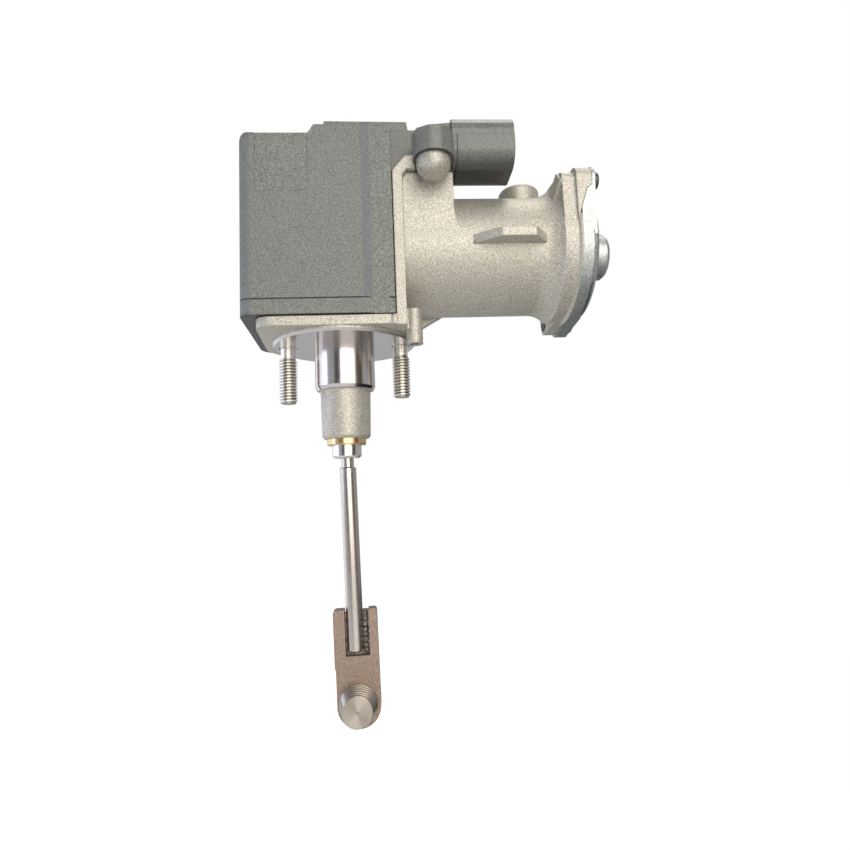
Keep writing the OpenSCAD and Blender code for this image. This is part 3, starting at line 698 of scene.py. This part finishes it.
# crystals, too fine to show at their real 0.02 mm, drawn 0.56 mm wide
crystals = add(
    zinc,
    "ShaderNodeTexNoise",
    {"Scale": 1800.0, "Detail": 3.0, "Roughness": 0.7},
    {"Vector": place},
)
zinc_colour = add(zinc, "ShaderNodeValToRGB", {}, {"Fac": crystals.outputs["Fac"]})
zinc_colour.color_ramp.elements[0].position = 0.34
zinc_colour.color_ramp.elements[0].color = linear("#98a0a3")
zinc_colour.color_ramp.elements[1].position = 0.66
zinc_colour.color_ramp.elements[1].color = linear("#d6dad4")
zinc_rough = add(
    zinc,
    "ShaderNodeMapRange",
    {"To Min": 0.34, "To Max": 0.56},
    {"Value": crystals.outputs["Fac"]},
)
zinc_bump = add(
    zinc,
    "ShaderNodeBump",
    {"Strength": 0.35, "Distance": 0.00008},
    {"Height": crystals.outputs["Fac"]},
)
zinc_metal = add(
    zinc,
    "ShaderNodeBsdfPrincipled",
    {"Metallic": 1.0},
    {
        "Base Color": zinc_colour.outputs["Color"],
        "Roughness": zinc_rough.outputs[0],
        "Normal": zinc_bump.outputs["Normal"],
    },
)
add(zinc, "ShaderNodeOutputMaterial", {}, {"Surface": zinc_metal.outputs[0]})
put(zinc, nodes["motor_cover"], nodes["cover_screws"])

# Screws of the motor cover: two headed and rolled steel screws with a hexagon socket.
# A black oxide skin with a film of oil makes them dark grey and half glossy.
oxide = new_finish("black_oxide_steel")
place = add(oxide, "ShaderNodeTexCoord").outputs["Object"]
# oil film, uneven in patches 0.7 mm wide
oil = add(oxide, "ShaderNodeTexNoise", {"Scale": 1400.0, "Detail": 2.0}, {"Vector": place})
oxide_rough = add(
    oxide,
    "ShaderNodeMapRange",
    {"To Min": 0.32, "To Max": 0.5},
    {"Value": oil.outputs["Fac"]},
)
oxide_bump = add(
    oxide,
    "ShaderNodeBump",
    {"Strength": 0.15, "Distance": 0.00004},
    {"Height": oil.outputs["Fac"]},
)
oxide_metal = add(
    oxide,
    "ShaderNodeBsdfPrincipled",
    {"Base Color": linear("#55585a"), "Metallic": 0.9},
    {"Roughness": oxide_rough.outputs[0], "Normal": oxide_bump.outputs["Normal"]},
)
add(oxide, "ShaderNodeOutputMaterial", {}, {"Surface": oxide_metal.outputs[0]})
put(oxide, nodes["motor_cover_screws"])

# Motor can, its end plate and the spring washer: deep-drawn and stamped sheet steel.
# Bare metal with faint lines along the drawing direction.
sheet = new_finish("drawn_sheet_steel")
place = add(sheet, "ShaderNodeTexCoord").outputs["Object"]
# lines along X, drawn 0.67 mm apart and 8 mm long
draw_lines = add(sheet, "ShaderNodeVectorMath", {"operation": "MULTIPLY", 1: (0.08, 1, 1)}, {0: place})
lines = add(
    sheet,
    "ShaderNodeTexNoise",
    {"Scale": 1500.0, "Detail": 2.0},
    {"Vector": draw_lines.outputs[0]},
)
sheet_rough = add(
    sheet,
    "ShaderNodeMapRange",
    {"To Min": 0.3, "To Max": 0.46},
    {"Value": lines.outputs["Fac"]},
)
sheet_bump = add(
    sheet,
    "ShaderNodeBump",
    {"Strength": 0.1, "Distance": 0.00003},
    {"Height": lines.outputs["Fac"]},
)
sheet_metal = add(
    sheet,
    "ShaderNodeBsdfPrincipled",
    {"Base Color": linear("#a3a5a6"), "Metallic": 1.0},
    {"Roughness": sheet_rough.outputs[0], "Normal": sheet_bump.outputs["Normal"]},
)
add(sheet, "ShaderNodeOutputMaterial", {}, {"Surface": sheet_metal.outputs[0]})
put(sheet, nodes["motor_can"], nodes["motor_end_plate"], nodes["spring_washer"])

# Motor magnets, sensor magnets and brushes: sintered ferrite and pressed carbon.
# Dark grey, slightly glossy, with a fine broken grain.
sintered = new_finish("sintered_ferrite")
place = add(sintered, "ShaderNodeTexCoord").outputs["Object"]
# broken grain, drawn 0.45 mm wide
chips = add(sintered, "ShaderNodeTexNoise", {"Scale": 2200.0, "Detail": 3.0}, {"Vector": place})
ferrite_rough = add(
    sintered,
    "ShaderNodeMapRange",
    {"To Min": 0.4, "To Max": 0.62},
    {"Value": chips.outputs["Fac"]},
)
ferrite_bump = add(
    sintered,
    "ShaderNodeBump",
    {"Strength": 0.25, "Distance": 0.00005},
    {"Height": chips.outputs["Fac"]},
)
ferrite = add(
    sintered,
    "ShaderNodeBsdfPrincipled",
    {"Base Color": linear("#3b3b3e"), "IOR": 2.2},
    {"Roughness": ferrite_rough.outputs[0], "Normal": ferrite_bump.outputs["Normal"]},
)
add(sintered, "ShaderNodeOutputMaterial", {}, {"Surface": ferrite.outputs[0]})
put(sintered, nodes["motor_magnets"], nodes["sensor_magnets"], nodes["brushes"])

# Brush holder and magnet holder: moulded black thermoset, the first a ring behind the
# commutator, the second a disc pressed on the output gear. Smooth and half matt.
thermoset = new_finish("moulded_thermoset")
place = add(thermoset, "ShaderNodeTexCoord").outputs["Object"]
# flow marks of the mould, 1.1 mm wide
flow = add(thermoset, "ShaderNodeTexNoise", {"Scale": 900.0, "Detail": 2.0}, {"Vector": place})
set_rough = add(
    thermoset,
    "ShaderNodeMapRange",
    {"To Min": 0.38, "To Max": 0.55},
    {"Value": flow.outputs["Fac"]},
)
set_bump = add(
    thermoset,
    "ShaderNodeBump",
    {"Strength": 0.12, "Distance": 0.00004},
    {"Height": flow.outputs["Fac"]},
)
set_plastic = add(
    thermoset,
    "ShaderNodeBsdfPrincipled",
    {"Base Color": linear("#2a2c2f"), "IOR": 1.55},
    {"Roughness": set_rough.outputs[0], "Normal": set_bump.outputs["Normal"]},
)
add(thermoset, "ShaderNodeOutputMaterial", {}, {"Surface": set_plastic.outputs[0]})
put(thermoset, nodes["brush_holder"], nodes["magnet_holder"])

# Armature: slotted steel core wound with enamelled copper wire, 0.5 mm thick.
# The wires lie side by side, so the skin is ribbed, glossy and reddish brown.
wound = new_finish("enamelled_copper_winding")
place = add(wound, "ShaderNodeTexCoord").outputs["Object"]
# the ribs are drawn 1 mm apart, twice the real distance: a band takes 0.314 / scale metres
wires = add(
    wound,
    "ShaderNodeTexWave",
    {"Scale": 320.0, "Distortion": 1.0, "bands_direction": "X"},
    {"Vector": place},
)
wire_bump = add(
    wound,
    "ShaderNodeBump",
    {"Strength": 0.6, "Distance": 0.0002},
    {"Height": wires.outputs["Fac"]},
)
wire_rough = add(
    wound,
    "ShaderNodeMapRange",
    {"To Min": 0.25, "To Max": 0.4},
    {"Value": wires.outputs["Fac"]},
)
copper_wire = add(
    wound,
    "ShaderNodeBsdfPrincipled",
    {"Base Color": linear("#a8602f"), "Metallic": 1.0},
    {"Roughness": wire_rough.outputs[0], "Normal": wire_bump.outputs["Normal"]},
)
add(wound, "ShaderNodeOutputMaterial", {}, {"Surface": copper_wire.outputs[0]})
put(wound, nodes["armature"])

# Commutator, motor pinion and terminals: turned copper, hobbed brass and tinned brass.
# Each is bright with short fine tool marks, drawn 0.3 mm wide.
for finish, colour, name in (
    ("turned_copper", "#c98a5a", "commutator"),
    ("hobbed_brass", "#cfb26a", "motor_pinion"),
    ("tinned_brass", "#c9c2a4", "terminal_pins"),
):
    yellow = new_finish(finish)
    place = add(yellow, "ShaderNodeTexCoord").outputs["Object"]
    tool = add(yellow, "ShaderNodeTexNoise", {"Scale": 3300.0, "Detail": 1.0}, {"Vector": place})
    tool_rough = add(
        yellow,
        "ShaderNodeMapRange",
        {"To Min": 0.22, "To Max": 0.36},
        {"Value": tool.outputs["Fac"]},
    )
    tool_bump = add(
        yellow,
        "ShaderNodeBump",
        {"Strength": 0.1, "Distance": 0.00003},
        {"Height": tool.outputs["Fac"]},
    )
    yellow_metal = add(
        yellow,
        "ShaderNodeBsdfPrincipled",
        {"Base Color": linear(colour), "Metallic": 1.0},
        {"Roughness": tool_rough.outputs[0], "Normal": tool_bump.outputs["Normal"]},
    )
    add(yellow, "ShaderNodeOutputMaterial", {}, {"Surface": yellow_metal.outputs[0]})
    put(yellow, nodes[name])

# Gears: intermediate and output gear, moulded in natural acetal and run on steel axles.
# Creamy white plastic with a waxy half gloss.
acetal = new_finish("moulded_acetal")
place = add(acetal, "ShaderNodeTexCoord").outputs["Object"]
# waxy unevenness of the mould skin, 1.4 mm wide
wax = add(acetal, "ShaderNodeTexNoise", {"Scale": 700.0, "Detail": 2.0}, {"Vector": place})
wax_rough = add(
    acetal,
    "ShaderNodeMapRange",
    {"To Min": 0.35, "To Max": 0.5},
    {"Value": wax.outputs["Fac"]},
)
wax_bump = add(
    acetal,
    "ShaderNodeBump",
    {"Strength": 0.08, "Distance": 0.00004},
    {"Height": wax.outputs["Fac"]},
)
acetal_plastic = add(
    acetal,
    "ShaderNodeBsdfPrincipled",
    {"Base Color": linear("#e3ddcc"), "IOR": 1.48, "Subsurface Weight": 0.05},
    {"Roughness": wax_rough.outputs[0], "Normal": wax_bump.outputs["Normal"]},
)
add(acetal, "ShaderNodeOutputMaterial", {}, {"Surface": acetal_plastic.outputs[0]})
put(acetal, nodes["intermediate_gear"], nodes["output_gear"])

# Sensor board: glass-epoxy laminate with a sensor chip, set on two pegs of the cover.
# Green solder resist covers it, and the weave of the glass shows faintly.
laminate = new_finish("glass_epoxy_laminate")
place = add(laminate, "ShaderNodeTexCoord").outputs["Object"]
# glass threads, really 0.5 mm apart, drawn 1.3 mm apart
weave = add(laminate, "ShaderNodeTexWave", {"Scale": 250.0, "bands_direction": "Y"}, {"Vector": place})
resist_bump = add(
    laminate,
    "ShaderNodeBump",
    {"Strength": 0.1, "Distance": 0.00004},
    {"Height": weave.outputs["Fac"]},
)
resist_rough = add(
    laminate,
    "ShaderNodeMapRange",
    {"To Min": 0.25, "To Max": 0.35},
    {"Value": weave.outputs["Fac"]},
)
resist = add(
    laminate,
    "ShaderNodeBsdfPrincipled",
    {"Base Color": linear("#22553a"), "IOR": 1.52},
    {"Roughness": resist_rough.outputs[0], "Normal": resist_bump.outputs["Normal"]},
)
add(laminate, "ShaderNodeOutputMaterial", {}, {"Surface": resist.outputs[0]})
put(laminate, nodes["sensor_board"])

# Floor: a plain matt white paper sheet lying well under the part.
# The distance keeps the shadow of the part soft and pale.
floor_height = -0.3
floor_reach = 6
floor_mesh = bpy.data.meshes.new("floor")
floor_mesh.from_pydata(
    [
        (-floor_reach, -floor_reach, floor_height),
        (floor_reach, -floor_reach, floor_height),
        (floor_reach, floor_reach, floor_height),
        (-floor_reach, floor_reach, floor_height),
    ],
    [],
    [(0, 1, 2, 3)],
)
floor = bpy.data.objects.new("floor", floor_mesh)
bpy.context.scene.collection.objects.link(floor)
paper = new_finish("white_paper")
light_path = add(paper, "ShaderNodeLightPath")
paper_diffuse = add(paper, "ShaderNodeBsdfDiffuse", {"Color": linear("#fafafa")})
# the camera sees white paper with the shadow on it, and other rays see plain paper
paper_glow = add(paper, "ShaderNodeEmission", {"Color": (1, 1, 1, 1), "Strength": 0.9})
paper_shade = add(paper, "ShaderNodeBsdfDiffuse", {"Color": linear("#a0a0a0")})
paper_seen = add(paper, "ShaderNodeAddShader", {}, {0: paper_glow.outputs[0], 1: paper_shade.outputs[0]})
paper_mix = add(
    paper,
    "ShaderNodeMixShader",
    {},
    {0: light_path.outputs["Is Camera Ray"], 1: paper_diffuse.outputs[0], 2: paper_seen.outputs[0]},
)
add(paper, "ShaderNodeOutputMaterial", {}, {"Surface": paper_mix.outputs[0]})
put(paper, floor)

# Room: the white walls of a small photo tent.
# The camera sees plain white, and the part is lit by a soft grey.
world = bpy.data.worlds.new("studio")
bpy.context.scene.world = world
world.use_nodes = True
world.node_tree.nodes.clear()
rays = add(world, "ShaderNodeLightPath")
soft = add(world, "ShaderNodeBackground", {"Color": linear("#e4e6ea"), "Strength": 0.56})
white = add(world, "ShaderNodeBackground", {"Color": (1, 1, 1, 1), "Strength": 1.0})
room = add(
    world,
    "ShaderNodeMixShader",
    {},
    {0: rays.outputs["Is Camera Ray"], 1: soft.outputs[0], 2: white.outputs[0]},
)
add(world, "ShaderNodeOutputWorld", {}, {"Surface": room.outputs[0]})


# Lamps and dark cards around the part: a warm soft box in front on the right, one above,
# a small cool one on the left, a large one behind it for the left edges, and felt cards
# that bright metal mirrors as dark streaks.
def lamp(name, place, target, size, power, colour):
    """Square soft lamp that looks at a point, with its size in metres and power in watts."""
    light = bpy.data.lights.new(name, "AREA")
    light.size = size
    light.energy = power
    light.color = linear(colour)[:3]
    holder = bpy.data.objects.new(name, light)
    holder.location = place
    holder.rotation_euler = (Vector(target) - Vector(place)).to_track_quat("-Z", "Y").to_euler()
    bpy.context.scene.collection.objects.link(holder)


lamp("front_lamp", (0.22, -0.88, 0.28), (0.02, 0, 0), size=0.9, power=7.1, colour="#fff9f0")
lamp("top_lamp", (0.25, 0.1, 0.95), (0.02, 0, 0), size=0.4, power=2.0, colour="#fffaf2")
lamp("left_lamp", (-0.9, -0.2, 0.1), (0, 0, 0.02), size=0.3, power=1.2, colour="#c4d4ff")
lamp("rim_lamp", (-0.8, 0.4, -0.1), (0, 0, -0.02), size=1.0, power=3.2, colour="#f0f3ff")


def flag(name, corners, colour):
    """Dark card that gives the bright metal something dark to mirror."""
    mesh = bpy.data.meshes.new(name)
    mesh.from_pydata(corners, [], [(0, 1, 2, 3)])
    card = bpy.data.objects.new(name, mesh)
    bpy.context.scene.collection.objects.link(card)
    card.visible_camera = False
    card.visible_shadow = False
    felt = new_finish(name + "_felt")
    felt_bsdf = add(felt, "ShaderNodeBsdfDiffuse", {"Color": linear(colour)})
    add(felt, "ShaderNodeOutputMaterial", {}, {"Surface": felt_bsdf.outputs[0]})
    put(felt, card)


def upright(x1, y1, x2, y2):
    """Corners of a standing card over the line between two points of the floor."""
    foot, head = -0.28, 0.6
    return [(x1, y1, foot), (x2, y2, foot), (x2, y2, head), (x1, y1, head)]


flag("left_flag", upright(-0.55, -0.75, -0.2, -0.95), "#4a4d5a")
flag("right_flag", upright(0.72, -0.7, 0.95, -0.3), "#5a4c42")
flag("low_flag", [(0.14, -0.2, -0.2), (0.7, -0.2, -0.2), (0.7, 0.6, -0.2), (0.14, 0.6, -0.2)], "#2e2e32")

# Camera: a plain camera with a wide lens, close in front of the part and a little
# under it, so that the pad shows from below.
yaw, pitch, roll = math.radians(3.5), math.radians(5.7), math.radians(-2.2)
camera_place = (0.01493, -0.183, -0.04542)
picture_width = 850
focal_length = 550  # in pixels of the picture
sensor_width = 36
ahead = Vector((math.sin(yaw) * math.cos(pitch), math.cos(yaw) * math.cos(pitch), math.sin(pitch)))
side = Vector((math.cos(yaw), -math.sin(yaw), 0))
up = side.cross(ahead)
turned_side = side * math.cos(roll) + up * math.sin(roll)
turned_up = up * math.cos(roll) - side * math.sin(roll)
camera_data = bpy.data.cameras.new("camera")
camera_data.sensor_width = sensor_width
camera_data.lens = sensor_width * focal_length / picture_width
camera_data.clip_start = 0.01
camera = bpy.data.objects.new("camera", camera_data)
pose = Matrix((turned_side, turned_up, -ahead)).transposed().to_4x4()
pose.translation = camera_place
camera.matrix_world = pose
bpy.context.scene.collection.objects.link(camera)
bpy.context.scene.camera = camera
bpy.context.scene.view_settings.view_transform = "Standard"
